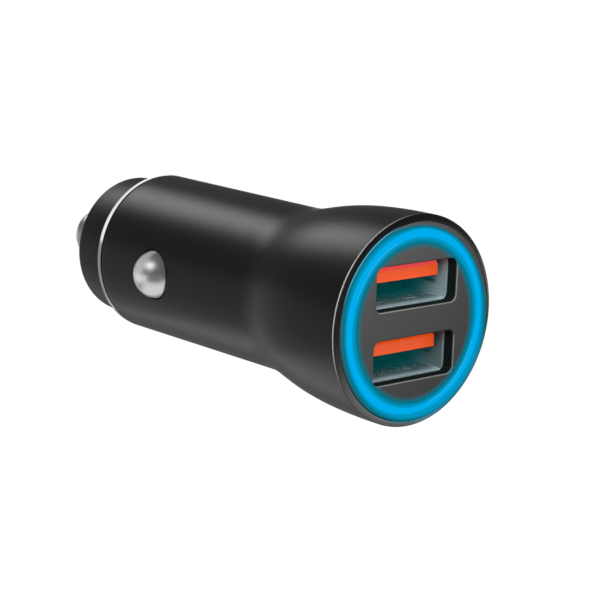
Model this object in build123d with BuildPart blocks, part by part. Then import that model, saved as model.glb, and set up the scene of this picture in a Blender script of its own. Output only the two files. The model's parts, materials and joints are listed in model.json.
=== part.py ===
"""A car socket plug with two charging ports: flared metal housing, lit face, sprung tip and side contacts.

Millimetres. The plug's axis is Y: the nose points to +Y and the face looks to -Y, with +Z up.
The origin is on the axis just past the flare, where the straight barrel enters the socket.
"""

from build123d import *
import math
import os

os.makedirs("parts", exist_ok=True)

# Fits between pieces
slip = 0.05  # pieces that push together
running = 0.15  # a sprung contact in its hole
loose = 0.3  # a part that must only stay clear

# Charging ports, by the standard for the wide flat plug
port_pitch = 8.75
cutout_width = 13.0
cutout_height = 5.33
cutout_corner = 0.9
shell_opening_width = 12.5
shell_opening_height = 5.12
shell_wall = 0.3
shell_corner = 0.6
shell_length = 12.8
tongue_width = 11.1
tongue_thickness = 1.7
tongue_top_gap = 0.6
tongue_set_back = 0.75  # behind the shell's front edge
tongue_chamfer = 0.35
rear_block_length = 2.0
rear_flange_thickness = 0.8
leg_width = 1.6
leg_set_back = 7.0
finger_width = 1.6
finger_length = 3.6
finger_slot = 0.35
finger_spacing = 5.6
finger_set_back = 2.2
strip_width = 1.0
strip_thickness = 0.25
strip_places = (-3.5, -1.0, 1.0, 3.5)
strip_set_back = 0.6  # behind the tongue's front edge

# Face
plate_thickness = 1.6
plate_web = 0.47  # between a cut-out's corner and the ring
light_ring_width = 1.05
light_ring_recess = 0.05
groove_depth = 1.0
plate_margin = 0.75
cutout_chamfer = 0.12
led_count = 6
led_width = 0.8
led_length = 1.6
led_height = 0.6
led_gap = 0.45  # from the lamps to the plate
led_board_thickness = 0.8
led_board_margin = 0.5

# Head and barrel
bezel_width = 0.79
bezel_rise = 0.43
rim_chamfer = 0.15
seam_chamfer = 0.2
head_length = 21.5
head_band = 0.5
shoulder_pull = 13.5  # how far the flare stays level at the head
neck_pull = 5.3  # and at the barrel
neck_set_back = 1.2  # from where the barrel enters the socket
barrel_radius = 10.4
barrel_length = 26.5
barrel_wall = 1.0
lip_wall = 1.45
lip_length = 3.5

# Side contacts
contact_set_back = 10.9  # from the barrel's end
contact_radius = 3.1
contact_proud = 2.1
contact_flange_width = 0.7
contact_flange_thickness = 0.8
side_spring_thickness = 0.4
side_spring_width = 3.0
side_spring_bend = 1.2

# Tip and nose
nose_ring_width = 0.85
nose_ring_chamfer = 0.1
nose_cap_step = 1.2  # below the barrel
nose_cap_length = 6.5
nose_cap_wall = 1.5
nose_cap_round = 1.0
chamber_radius = 5.2
tip_radius = 3.4
tip_reach = 9.65
tip_round = 2.0
tip_flange_thickness = 1.0
tip_stub_radius = 2.3
tip_stub_length = 2.0

# Tip spring
spring_wire = 0.5
tip_spring_radius = 3.2
tip_spring_turns = 4
chords_per_turn = 12

# Inside
board_thickness = 1.2
board_grip = 1.6  # how far the carrier holds the board
carrier_wall = 1.4
terminal_thickness = 0.4
terminal_width = 2.4
terminal_reach = 5.4
terminal_leg_gap = 0.7
board_part_gap = 0.7
inductor_side = 5.2
inductor_height = 4.2
inductor_chamfer = 1.0
capacitor_radius = 2.5
capacitor_height = 5.6
capacitor_base = 1.0
capacitor_base_edge = 0.15
chip_length = 4.9
chip_width = 3.9
chip_height = 1.5
chip_lead_reach = 1.0
chip_lead_pitch = 1.27
chip_lead_width = 0.4
chip_lead_thickness = 0.2

# Radii that follow from the ports, outwards to the head's edge
shell_width = shell_opening_width + 2 * shell_wall
shell_height = shell_opening_height + 2 * shell_wall
light_ring_inner = math.hypot(cutout_width / 2, (port_pitch + cutout_height) / 2) + plate_web
light_ring_outer = light_ring_inner + light_ring_width
led_circle = (light_ring_inner + light_ring_outer) / 2
plate_radius = light_ring_outer + plate_margin
mouth_radius = plate_radius + 2 * slip
head_radius = mouth_radius + bezel_width
led_board_radius = led_circle + led_board_margin
led_bore_radius = led_board_radius + 2 * slip
port_bore_radius = math.hypot(shell_width / 2, (port_pitch + shell_height) / 2) + running
bore_radius = barrel_radius - barrel_wall
lip_radius = barrel_radius - lip_wall

# Stations along the axis, from the face to the tip
edge_y = -head_length
neck_y = -neck_set_back
face_y = edge_y - bezel_rise
plate_back_y = face_y + plate_thickness
groove_floor_y = face_y + groove_depth
led_front_y = plate_back_y + led_gap
led_board_y = led_front_y + led_height
led_board_back_y = led_board_y + led_board_thickness
shell_front_y = plate_back_y + slip
shell_back_y = shell_front_y + shell_length
tongue_front_y = shell_front_y + tongue_set_back
rear_block_y = shell_back_y - rear_block_length
rear_flange_back_y = shell_back_y + slip + rear_flange_thickness
strip_tail_y = rear_flange_back_y + slip + strip_thickness
port_bore_end_y = strip_tail_y + loose

# Side contact, measured from the axis
contact_y = barrel_length - contact_set_back
contact_hole_radius = contact_radius + running
contact_flange_radius = contact_radius + contact_flange_width
contact_bore_radius = contact_flange_radius + running
contact_apex_x = barrel_radius + contact_proud
contact_stop_x = math.sqrt(bore_radius**2 - contact_flange_radius**2) - 2 * slip
contact_flange_x = contact_stop_x - contact_flange_thickness

carrier_radius = bore_radius - 2 * slip
carrier_back_y = contact_y + contact_bore_radius + carrier_wall
board_end_y = contact_y - contact_bore_radius - carrier_wall / 2
carrier_front_y = board_end_y - board_grip
board_half_width = bore_radius - loose
side_spring_x = contact_flange_x - slip - side_spring_thickness / 2
side_spring_y = board_end_y + slip + side_spring_thickness / 2
side_spring_end_y = contact_y + contact_radius
terminal_back_y = carrier_back_y + terminal_thickness
terminal_leg_y = carrier_front_y - terminal_leg_gap
inductor_y = strip_tail_y + board_part_gap + inductor_side / 2
capacitor_base_side = 2 * (capacitor_radius + capacitor_base_edge)
capacitor_y = terminal_leg_y - board_part_gap - capacitor_base_side / 2

nose_ring_end_y = barrel_length + nose_ring_width
spigot_radius = lip_radius - slip
nose_cap_radius = barrel_radius - nose_cap_step
spigot_y = barrel_length - lip_length
nose_cap_end_y = nose_ring_end_y + nose_cap_length
tip_stop_y = nose_cap_end_y - nose_cap_wall - 2 * slip
tip_flange_y = tip_stop_y - tip_flange_thickness
tip_end_y = nose_cap_end_y + tip_reach
tip_flange_radius = chamber_radius - loose


def across(y, z=0.0):
    """A plane square to the axis at station y that looks to the face, with X right and Z up."""
    return Plane((0, y, z), x_dir=(1, 0, 0), z_dir=(0, -1, 0))


def save(piece, name):
    """Label a finished piece and write it as its own file."""
    piece.part.label = name
    export_step(piece.part, f"parts/{name}.step")


# Housing: a turned shell with bores for the face, the lamps, the ports and the works
with BuildPart() as housing:
    with BuildSketch(Plane.XY):
        with BuildLine():
            bezel = Line((mouth_radius, face_y), (head_radius, edge_y))
            band = Line(bezel @ 1, (head_radius, edge_y + head_band))
            flare = Bezier(
                band @ 1,
                (head_radius, edge_y + head_band + shoulder_pull),
                (barrel_radius, neck_y - neck_pull),
                (barrel_radius, neck_y),
            )
            barrel = Line(flare @ 1, (barrel_radius, barrel_length))
            Polyline(
                barrel @ 1,
                (lip_radius, barrel_length),
                (lip_radius, spigot_y),
                (bore_radius, spigot_y),
                (bore_radius, port_bore_end_y),
                (port_bore_radius, port_bore_end_y),
                (port_bore_radius, led_board_back_y),
                (led_bore_radius, led_board_back_y),
                (led_bore_radius, plate_back_y),
                (mouth_radius, plate_back_y),
                bezel @ 0,
            )
        make_face()
    revolve(axis=Axis.Y)
    rim = housing.edges().filter_by(GeomType.CIRCLE).group_by(SortBy.RADIUS)[-1].sort_by(Axis.Y)[0]
    chamfer(rim, length=rim_chamfer)
    seam = housing.edges().filter_by(GeomType.CIRCLE).group_by(Axis.Y)[-1].sort_by(SortBy.RADIUS)[-1]
    chamfer(seam, length=seam_chamfer)
    with BuildSketch(Plane.YZ):
        with Locations((contact_y, 0)):
            Circle(contact_hole_radius)
    extrude(amount=barrel_radius, both=True, mode=Mode.SUBTRACT)
save(housing, "housing")

# Face plate: port cut-outs, a groove for the light ring and slots that let the lamps shine into it
with BuildPart() as face_plate:
    with BuildSketch(across(plate_back_y)):
        Circle(plate_radius)
        with GridLocations(0, port_pitch, 1, 2):
            RectangleRounded(cutout_width, cutout_height, cutout_corner, mode=Mode.SUBTRACT)
    extrude(amount=plate_thickness)
    with BuildSketch(across(groove_floor_y)):
        Circle(light_ring_outer)
        Circle(light_ring_inner, mode=Mode.SUBTRACT)
    extrude(amount=groove_depth, mode=Mode.SUBTRACT)
    disc = face_plate.faces().filter_by(Axis.Y).group_by(Axis.Y)[0].sort_by(SortBy.AREA)[-1]
    for cutout in disc.inner_wires():
        chamfer(cutout.edges(), length=cutout_chamfer)
    with BuildSketch(across(plate_back_y)):
        with PolarLocations(led_circle, led_count):
            Rectangle(led_width, led_length)
    extrude(amount=plate_thickness - groove_depth, mode=Mode.SUBTRACT)
save(face_plate, "face_plate")

# Light ring: a clear ring that lies in the groove
with BuildPart() as light_ring:
    with BuildSketch(across(groove_floor_y)):
        Circle(light_ring_outer - slip)
        Circle(light_ring_inner + slip, mode=Mode.SUBTRACT)
    extrude(amount=groove_depth - light_ring_recess)
save(light_ring, "light_ring")

# Lamp board: a disc that the port shells pass through, with the lamps round its edge
with BuildPart() as led_board:
    with BuildSketch(across(led_board_back_y)):
        Circle(led_board_radius)
        with GridLocations(0, port_pitch, 1, 2):
            Rectangle(shell_width + 2 * slip, shell_height + 2 * slip, mode=Mode.SUBTRACT)
    extrude(amount=led_board_thickness)
save(led_board, "led_board")

with BuildPart() as leds:
    with BuildSketch(across(led_board_y)):
        with PolarLocations(led_circle, led_count):
            Rectangle(led_width, led_length)
    extrude(amount=led_height)
save(leds, "leds")


def port_shell(port_z, side):
    """A folded steel shell with spring fingers and two legs that stand on the board. Side is 1 above it."""
    with BuildPart() as shell:
        with BuildSketch(across(shell_back_y, port_z)):
            RectangleRounded(shell_width, shell_height, shell_corner)
            RectangleRounded(
                shell_opening_width, shell_opening_height, shell_corner - shell_wall, mode=Mode.SUBTRACT
            )
        extrude(amount=shell_length)
        finger_y = shell_front_y + finger_set_back + finger_length / 2
        with BuildSketch(Plane.XY.offset(port_z)):
            with Locations((0, finger_y)):
                with GridLocations(finger_spacing, 0, 2, 1):
                    Rectangle(finger_width + 2 * finger_slot, finger_length)
                    with Locations((0, finger_slot)):
                        Rectangle(finger_width, finger_length, mode=Mode.SUBTRACT)
        extrude(amount=-shell_height, mode=Mode.SUBTRACT)
        leg_top = port_z - side * (shell_height / 2 - shell_corner)
        leg_foot = side * board_thickness / 2
        with BuildSketch(across(shell_front_y + leg_set_back, (leg_top + leg_foot) / 2)):
            with GridLocations(shell_width - shell_wall, 0, 2, 1):
                Rectangle(shell_wall, abs(leg_top - leg_foot))
        extrude(amount=leg_width)
    return shell


def strip_outline(port_z, side, room):
    """The side view of one contact strip: along under the tongue, through the block and to the board."""
    under = port_z + shell_opening_height / 2 - tongue_top_gap - tongue_thickness
    foot = side * board_thickness / 2
    start_y = tongue_front_y + strip_set_back
    with Locations(((start_y + strip_tail_y) / 2, under - strip_thickness / 2)):
        Rectangle(strip_tail_y - start_y + 2 * room, strip_thickness + 2 * room)
    tail_top = under if side > 0 else under - strip_thickness
    with Locations((strip_tail_y - strip_thickness / 2, (tail_top + foot) / 2)):
        Rectangle(strip_thickness, abs(tail_top - foot))


def extrude_strips(outline, width, mode):
    """Give the strips' outline its width at each of their places."""
    for place in strip_places:
        extrude(Pos(place, 0, 0) * outline, amount=width / 2, both=True, mode=mode)


def port_tongue(port_z, side):
    """A moulded tongue on a rear block that closes the shell and stands on the board."""
    tongue_z = port_z + shell_opening_height / 2 - tongue_top_gap - tongue_thickness / 2
    block_foot = side * board_thickness / 2
    block_top = port_z + side * shell_height / 2
    with BuildPart() as tongue:
        with BuildSketch(across(shell_back_y + slip, port_z)) as block:
            Rectangle(shell_opening_width - 2 * slip, shell_opening_height - 2 * slip)
            chamfer(block.vertices(), length=shell_corner - shell_wall)
        extrude(amount=rear_block_length + slip)
        with BuildSketch(across(rear_flange_back_y, (block_top + block_foot) / 2)):
            Rectangle(shell_width, abs(block_top - block_foot))
        extrude(amount=rear_flange_thickness)
        with BuildSketch(across(rear_block_y, tongue_z)):
            Rectangle(tongue_width, tongue_thickness)
        extrude(amount=rear_block_y - tongue_front_y)
        front = tongue.faces().sort_by(Axis.Y)[0]
        chamfer(front.edges().sort_by(Axis.Z)[-1], length=tongue_chamfer)
        with BuildSketch(Plane.YZ, mode=Mode.PRIVATE) as slot:
            strip_outline(port_z, side, slip)
        extrude_strips(slot.sketch, strip_width + 2 * slip, Mode.SUBTRACT)
    return tongue


def port_contacts(port_z, side):
    """The contact strips of one port."""
    with BuildPart() as contacts:
        with BuildSketch(Plane.YZ, mode=Mode.PRIVATE) as outline:
            strip_outline(port_z, side, 0)
        extrude_strips(outline.sketch, strip_width, Mode.ADD)
    return contacts


for level, side in (("upper", 1), ("lower", -1)):
    port_z = side * port_pitch / 2
    save(port_shell(port_z, side), f"{level}_port_shell")
    save(port_tongue(port_z, side), f"{level}_port_tongue")
    save(port_contacts(port_z, side), f"{level}_port_contacts")

# Circuit board: a strip down the middle of the barrel, from the lamps to the contact carrier
with BuildPart() as circuit_board:
    with BuildSketch(Plane.XY):
        with Locations((0, (led_board_back_y + board_end_y) / 2)):
            Rectangle(2 * board_half_width, board_end_y - led_board_back_y)
    extrude(amount=board_thickness / 2, both=True)
save(circuit_board, "circuit_board")

# Contact carrier: a plug of plastic in the barrel, bored across for the side contacts
with BuildPart() as contact_carrier:
    with BuildSketch(across(carrier_back_y)):
        Circle(carrier_radius)
    extrude(amount=carrier_back_y - carrier_front_y)
    with BuildSketch(Plane.YZ):
        with Locations((contact_y, 0)):
            Circle(contact_bore_radius)
    extrude(amount=carrier_radius, both=True, mode=Mode.SUBTRACT)
    with BuildSketch(across(board_end_y + slip)):
        Rectangle(2 * carrier_radius, board_thickness + 2 * slip)
    extrude(amount=board_grip + slip, mode=Mode.SUBTRACT)
    with BuildSketch(across(side_spring_end_y + slip)):
        Rectangle(2 * contact_flange_x, side_spring_width + 2 * slip)
    extrude(amount=side_spring_end_y + slip - carrier_front_y, mode=Mode.SUBTRACT)
    with BuildSketch(across(carrier_back_y, terminal_reach)):
        Rectangle(terminal_width + 2 * slip, terminal_thickness + 2 * slip)
    extrude(amount=carrier_back_y - carrier_front_y, mode=Mode.SUBTRACT)
save(contact_carrier, "contact_carrier")

# Side spring: a strip bent to a U that stands at the board's end and pushes both side contacts out
with BuildPart() as side_spring:
    with BuildSketch(Plane.XY):
        with BuildLine():
            FilletPolyline(
                (side_spring_x, side_spring_end_y),
                (side_spring_x, side_spring_y),
                (-side_spring_x, side_spring_y),
                (-side_spring_x, side_spring_end_y),
                radius=side_spring_bend,
            )
        trace(line_width=side_spring_thickness)
    extrude(amount=side_spring_width / 2, both=True)
save(side_spring, "side_spring")


def side_contact(side):
    """A domed contact with a flange that stops behind the barrel wall."""
    with BuildPart() as contact:
        with BuildSketch(Plane((0, contact_y, 0))):
            with BuildLine():
                dome_x = contact_apex_x - contact_radius
                CenterArc((side * dome_x, 0), contact_radius, 0 if side > 0 else 90, 90)
                Polyline(
                    (side * dome_x, contact_radius),
                    (side * contact_stop_x, contact_radius),
                    (side * contact_stop_x, contact_flange_radius),
                    (side * contact_flange_x, contact_flange_radius),
                    (side * contact_flange_x, 0),
                    (side * contact_apex_x, 0),
                )
            make_face()
        revolve(axis=Axis((0, contact_y, 0), (1, 0, 0)))
    return contact


for name, side in (("left", -1), ("right", 1)):
    save(side_contact(side), f"side_contact_{name}")

# Tip terminal: a disc that the tip spring stands on, with a bent strip to the board
with BuildPart() as tip_terminal:
    with BuildSketch(across(terminal_back_y)):
        Circle(chamber_radius - loose)
    extrude(amount=terminal_thickness)
    with BuildSketch(Plane.YZ):
        strip_top = terminal_reach + terminal_thickness / 2
        strip_under = terminal_reach - terminal_thickness / 2
        with BuildLine():
            Polyline(
                (terminal_back_y, 0),
                (terminal_back_y, strip_top),
                (terminal_leg_y, strip_top),
                (terminal_leg_y, board_thickness / 2),
                (terminal_leg_y + terminal_thickness, board_thickness / 2),
                (terminal_leg_y + terminal_thickness, strip_under),
                (carrier_back_y, strip_under),
                (carrier_back_y, 0),
                close=True,
            )
        make_face()
    extrude(amount=terminal_width / 2, both=True)
save(tip_terminal, "tip_terminal")

# Tip spring: a coil of square wire between the terminal and the tip's flange, bent in short chords
with BuildPart() as tip_spring:
    with BuildLine() as coil:
        coil_start_y = terminal_back_y + spring_wire / 2 + slip
        coil_height = tip_flange_y - terminal_back_y - spring_wire - 2 * slip
        chord_count = round(tip_spring_turns * chords_per_turn)
        chord_angle = math.radians(360 / chords_per_turn)
        Polyline(
            *[
                (
                    tip_spring_radius * math.cos(chord_angle * step),
                    coil_start_y + coil_height * step / chord_count,
                    tip_spring_radius * math.sin(chord_angle * step),
                )
                for step in range(chord_count + 1)
            ]
        )
    with BuildSketch(Plane(coil.line @ 0, x_dir=(1, 0, 0), z_dir=coil.line % 0)):
        Rectangle(spring_wire, spring_wire)
    sweep(path=coil.line, transition=Transition.RIGHT)
save(tip_spring, "tip_spring")

# Nose ring: a bright band clamped between the barrel's end and the nose cap
with BuildPart() as nose_ring:
    with BuildSketch(across(nose_ring_end_y)):
        Circle(barrel_radius)
        Circle(spigot_radius + slip, mode=Mode.SUBTRACT)
    extrude(amount=nose_ring_width)
    rims = nose_ring.edges().filter_by(GeomType.CIRCLE).group_by(SortBy.RADIUS)[-1]
    chamfer(rims, length=nose_ring_chamfer)
save(nose_ring, "nose_ring")

# Nose cap: a cup whose spigot clamps the ring and whose chamber holds the tip
with BuildPart() as nose_cap:
    with BuildSketch(Plane.XY):
        with BuildLine():
            Polyline(
                (chamber_radius, spigot_y),
                (spigot_radius, spigot_y),
                (spigot_radius, nose_ring_end_y),
                (nose_cap_radius, nose_ring_end_y),
                (nose_cap_radius, nose_cap_end_y),
                (tip_radius + running, nose_cap_end_y),
                (tip_radius + running, nose_cap_end_y - nose_cap_wall),
                (chamber_radius, nose_cap_end_y - nose_cap_wall),
                close=True,
            )
        make_face()
    revolve(axis=Axis.Y)
    end_rim = nose_cap.edges().filter_by(GeomType.CIRCLE).group_by(Axis.Y)[-1].sort_by(SortBy.RADIUS)[-1]
    fillet(end_rim, radius=nose_cap_round)
save(nose_cap, "nose_cap")

# Tip pin: a rounded centre contact with a flange behind the cap's end wall
with BuildPart() as tip_pin:
    with BuildSketch(Plane.XY):
        with BuildLine():
            Polyline(
                (0, tip_flange_y - tip_stub_length),
                (tip_stub_radius, tip_flange_y - tip_stub_length),
                (tip_stub_radius, tip_flange_y),
                (tip_flange_radius, tip_flange_y),
                (tip_flange_radius, tip_stop_y),
                (tip_radius, tip_stop_y),
                (tip_radius, tip_end_y),
                (0, tip_end_y),
                close=True,
            )
        make_face()
    revolve(axis=Axis.Y)
    fillet(tip_pin.edges().group_by(Axis.Y)[-1], radius=tip_round)
save(tip_pin, "tip_pin")


# Parts on the board
def capacitor(side):
    """A metal can on a square plastic base, standing on one face of the board."""
    foot = side * board_thickness / 2
    with BuildPart() as can:
        with BuildSketch(Plane((0, capacitor_y, foot), z_dir=(0, 0, side))):
            Rectangle(capacitor_base_side, capacitor_base_side)
        extrude(amount=capacitor_base)
        with BuildSketch(Plane((0, capacitor_y, foot), z_dir=(0, 0, side))):
            Circle(capacitor_radius)
        extrude(amount=capacitor_height)
    return can


save(capacitor(1), "output_capacitor")
save(capacitor(-1), "input_capacitor")

with BuildPart() as inductor:
    with BuildSketch(Plane((0, inductor_y, board_thickness / 2))) as core:
        Rectangle(inductor_side, inductor_side)
        chamfer(core.vertices(), length=inductor_chamfer)
    extrude(amount=inductor_height)
save(inductor, "inductor")

with BuildPart() as controller_chip:
    with BuildSketch(Plane((0, inductor_y, -board_thickness / 2), z_dir=(0, 0, -1))):
        Rectangle(chip_width, chip_length)
    extrude(amount=chip_height)
    with BuildSketch(Plane((0, inductor_y, -board_thickness / 2), z_dir=(0, 0, -1))):
        with GridLocations(0, chip_lead_pitch, 1, 4):
            Rectangle(chip_width + 2 * chip_lead_reach, chip_lead_width)
    extrude(amount=chip_lead_thickness)
save(controller_chip, "controller_chip")
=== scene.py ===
"""Looks for the car socket charger: fine turned pieces, moulded and plated finishes, and a white studio."""

import json
import math
from collections import namedtuple

import bmesh
import bpy
from bpy.props import FloatProperty, FloatVectorProperty, IntProperty, PointerProperty
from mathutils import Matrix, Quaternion, Vector


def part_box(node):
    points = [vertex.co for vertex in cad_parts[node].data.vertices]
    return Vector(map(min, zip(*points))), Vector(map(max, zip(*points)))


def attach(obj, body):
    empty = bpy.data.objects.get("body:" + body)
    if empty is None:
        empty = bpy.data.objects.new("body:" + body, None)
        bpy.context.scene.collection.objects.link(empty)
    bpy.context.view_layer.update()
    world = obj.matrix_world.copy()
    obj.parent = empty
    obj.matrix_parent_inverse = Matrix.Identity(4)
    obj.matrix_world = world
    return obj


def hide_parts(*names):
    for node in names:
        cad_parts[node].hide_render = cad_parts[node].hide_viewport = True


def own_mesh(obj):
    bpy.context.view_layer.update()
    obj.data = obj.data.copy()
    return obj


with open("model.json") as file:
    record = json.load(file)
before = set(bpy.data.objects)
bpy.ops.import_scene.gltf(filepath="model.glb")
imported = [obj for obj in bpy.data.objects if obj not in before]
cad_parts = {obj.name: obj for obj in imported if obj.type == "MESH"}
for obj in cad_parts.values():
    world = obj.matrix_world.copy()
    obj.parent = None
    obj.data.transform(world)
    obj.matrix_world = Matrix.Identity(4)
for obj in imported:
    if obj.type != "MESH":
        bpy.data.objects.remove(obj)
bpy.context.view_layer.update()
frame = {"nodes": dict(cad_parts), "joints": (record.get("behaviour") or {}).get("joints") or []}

bl_info = {
    "name": "Car charger looks",
    "version": (1, 0, 0),
    "blender": (4, 5, 0),
    "location": "3D View > Sidebar > Charger",
    "description": "Builds the visible pieces and finishes of a car socket charger around its solids",
    "category": "Object",
}

MM = 0.001
CAD_SLIP = 0.05 * MM  # clearance between pieces that push together
CAD_RUNNING = 0.15 * MM  # clearance of a sprung contact in its hole
CAD_LOOSE = 0.3 * MM  # clearance behind the ports
SMOOTH_LIMIT = math.radians(32)
WELD_DISTANCE = 0.001 * MM  # joins the solids' faces along their edges
BLACK = (0.0, 0.0, 0.0)
WHITE = (1.0, 1.0, 1.0)

# Fineness of the meshes, in steps
FLARE_STEPS = 56
BARREL_STEPS = 24
DOME_STEPS = 28
BEND_STEPS = 8
ROUNDING_STEPS = 6
CAP_STEPS = 10
TIP_STEPS = 18
HOLE_SEGMENTS = 96
CONTACT_SEGMENTS = 128
COIL_SEGMENTS = 40  # in one turn
WIRE_SEGMENTS = 12

# How the ring's light lies on the face
LEAN_ANGLE = math.radians(51)  # twice the angle at which the light is narrowest
DIAGONAL = (0.95, 1.41)  # from nothing to all, towards a diagonal of the face
DIAGONAL_LINE = (1.2, 1.38)  # the same for fine lines, closer to the diagonal
UPPER_RIGHT = (0.6, 1.1)  # from nothing to all, towards the upper right
FADE = 1.2  # how fast the light fades outside the ring
UPPER_RIGHT_FADE = 1.3  # added to that at the upper right
LOWER_RIGHT_SPREAD = 0.75  # taken from it at the lower right
PLATE_SPREAD = 0.4  # taken from it at the upper left, on the plate alone
HOUSING_SHARE = 0.7  # of the ring's light that shows on the housing
FINE_LINE = (0.26, 0.06)  # edge and core of a pale line along the ring, as shares of half the ring's width
LINE_PLACE = 0.84  # from the ring's middle, as such a share


# Sizes and colours that a user would change


def length(name, description, millimetres):
    """A length property with its default in millimetres."""
    return FloatProperty(
        name=name, description=description, default=millimetres * MM, unit="LENGTH", precision=6
    )


def colour(name, description, red, green, blue):
    """A colour property in linear light."""
    return FloatVectorProperty(
        name=name,
        description=description,
        default=(red, green, blue),
        subtype="COLOR",
        size=3,
        min=0.0,
        max=1.0,
    )


def view_angle(name, description, degrees):
    """An angle property with its default in degrees."""
    return FloatProperty(name=name, description=description, default=math.radians(degrees), subtype="ANGLE")


def amount(name, description, default):
    """A plain number between nothing and a few times the usual."""
    return FloatProperty(name=name, description=description, default=default, min=0.0, soft_max=10.0)


class HousingSizes(bpy.types.PropertyGroup):
    """The turned housing."""

    head_length: length("Head length", "From the rim to where the barrel enters the socket", 21.5)
    head_band: length("Head band", "Level stretch behind the rim", 0.5)
    shoulder_pull: length("Shoulder pull", "How far the flare stays level at the head", 13.5)
    neck_pull: length("Neck pull", "How far it stays level at the barrel", 5.3)
    neck_set_back: length("Neck set back", "From the flare's end to where the barrel enters the socket", 1.2)
    lip_length: length("Lip length", "Seat of the nose cap inside the barrel's end", 3.5)
    lip_wall: length("Lip wall", "Wall thickness at the barrel's end", 1.45)
    wall: length("Wall", "Wall thickness of the barrel", 1.0)
    rim_round: length("Rim rounding", "Edge between the bezel and the flank", 0.16)
    mouth_round: length("Mouth rounding", "Edge between the bezel and the face plate", 0.07)
    end_round: length("End rounding", "Edge of the barrel beside the bright ring", 0.2)
    hole_radius: length("Hole radius", "Holes of the side contacts", 3.25)
    segments: IntProperty(name="Segments", description="Steps round the axis", default=216, min=24, max=512)


class FaceSizes(bpy.types.PropertyGroup):
    """The face plate's glow and the light ring."""

    ring_width: length("Ring width", "Width of the light ring and its groove", 1.05)
    ring_round: length("Ring rounding", "Front edges of the light ring", 0.04)
    tongue_round: length("Tongue rounding", "Edges of a port's tongue", 0.12)
    port_height: length("Port height", "Outer height of a port's shell", 5.72)
    seam_drop: length("Seam drop", "How far the side walls' seam lies below the middle of a port", 0.8)
    glow_reach: length("Glow reach", "How far the ring's light spreads over the plate", 1.0)
    glow_drop: length("Glow drop", "How far the light's middle lies below the ring's", 0.15)
    glow_lean: amount("Glow lean", "How far the light's outline is out of round", 0.018)
    near_glow: colour("Near glow", "Light that spills beside the ring", 0.0, 0.3, 0.54)
    glow_colour: colour("Far glow", "Light that spills further from the ring", 0.0, 0.16, 0.22)
    # The line colour is that of painted highlights along the ring
    ring_highlight_colour: colour("Line colour", "Fine pale lines along the ring", 0.12, 0.55, 0.9)
    glint_colour: colour("Glint colour", "Glint of the housing's mouth beside the ring", 0.16, 0.52, 0.73)
    ring_colour: colour("Ring colour", "Light of the ring's middle", 0.0, 0.423, 0.863)


class ContactSizes(bpy.types.PropertyGroup):
    """The sprung contacts, the nose and the springs."""

    dome_radius: length("Dome radius", "Radius of a side contact", 3.1)
    flange_width: length("Flange width", "Step behind a side contact", 0.7)
    flange_thickness: length("Flange thickness", "Thickness of that step", 0.8)
    ring_round: length("Bright ring rounding", "Edges of the bright ring", 0.12)
    cap_round: length("Cap rounding", "End edge of the nose cap", 1.0)
    cap_wall: length("Cap wall", "End wall of the nose cap", 1.5)
    chamber_radius: length("Chamber radius", "Room for the tip inside the nose cap", 5.2)
    tip_radius: length("Tip radius", "Radius of the centre tip", 3.4)
    tip_round: length("Tip rounding", "End edge of the centre tip", 2.0)
    tip_flange: length("Tip flange", "Thickness of the tip's flange", 1.0)
    stub_radius: length("Stub radius", "Guide of the tip spring", 2.3)
    stub_length: length("Stub length", "Length of that guide", 2.0)
    shoulder_round: length("Shoulder rounding", "Edge of the nose cap beside the bright ring", 0.06)
    hole_round: length("Hole rounding", "Edge of the tip's hole", 0.12)
    stub_round: length("Stub rounding", "Edge of the tip spring's guide", 0.1)
    flange_round: length("Flange rounding", "Edges of the tip's flange", 0.08)
    wire: length("Wire", "Thickness of the tip spring's wire", 0.5)
    coil_turns: FloatProperty(
        name="Coil turns", description="Turns of the tip spring", default=4.0, min=1.0, max=12.0
    )
    strip: length("Strip", "Thickness of the side spring", 0.4)
    strip_bend: length("Strip bend", "Outer radius of the side spring's bends", 1.4)


class FinishColours(bpy.types.PropertyGroup):
    """Base colours."""

    housing: colour("Housing", "Black anodised metal", 0.004, 0.004, 0.0041)
    # The rim colour is a painted highlight along the rim's edge
    rim: colour("Rim", "Bare metal of the cut at the rim", 0.52, 0.52, 0.52)
    plate: colour("Face plate", "Grey plastic", 0.118, 0.118, 0.117)
    # The plate edge colour is a painted highlight on the cut-outs' front bevels
    bevel_highlight: colour("Plate edge", "Fine edge of the port cut-outs", 0.3, 0.3, 0.3)
    cap: colour("Nose cap", "Black plastic", 0.006, 0.006, 0.0061)
    bright: colour("Bright plate", "Nickel plate", 0.6, 0.6, 0.595)
    steel: colour("Port steel", "Plated sheet", 0.36, 0.47, 0.5)
    leak: colour("Leak", "The ring's light inside a port", 0.0, 0.04, 0.043)
    tongue: colour("Tongue", "Orange plastic", 0.74, 0.072, 0.004)
    # The tongue edge colour is a painted highlight on the upper tongue's upward faces
    tongue_top_highlight: colour("Tongue edge", "Upper edge of the upper tongue", 0.85, 0.065, 0.068)
    board: colour("Board", "Green lacquer", 0.012, 0.11, 0.04)
    brass: colour("Brass", "Gilded strip", 0.4, 0.26, 0.09)


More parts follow.
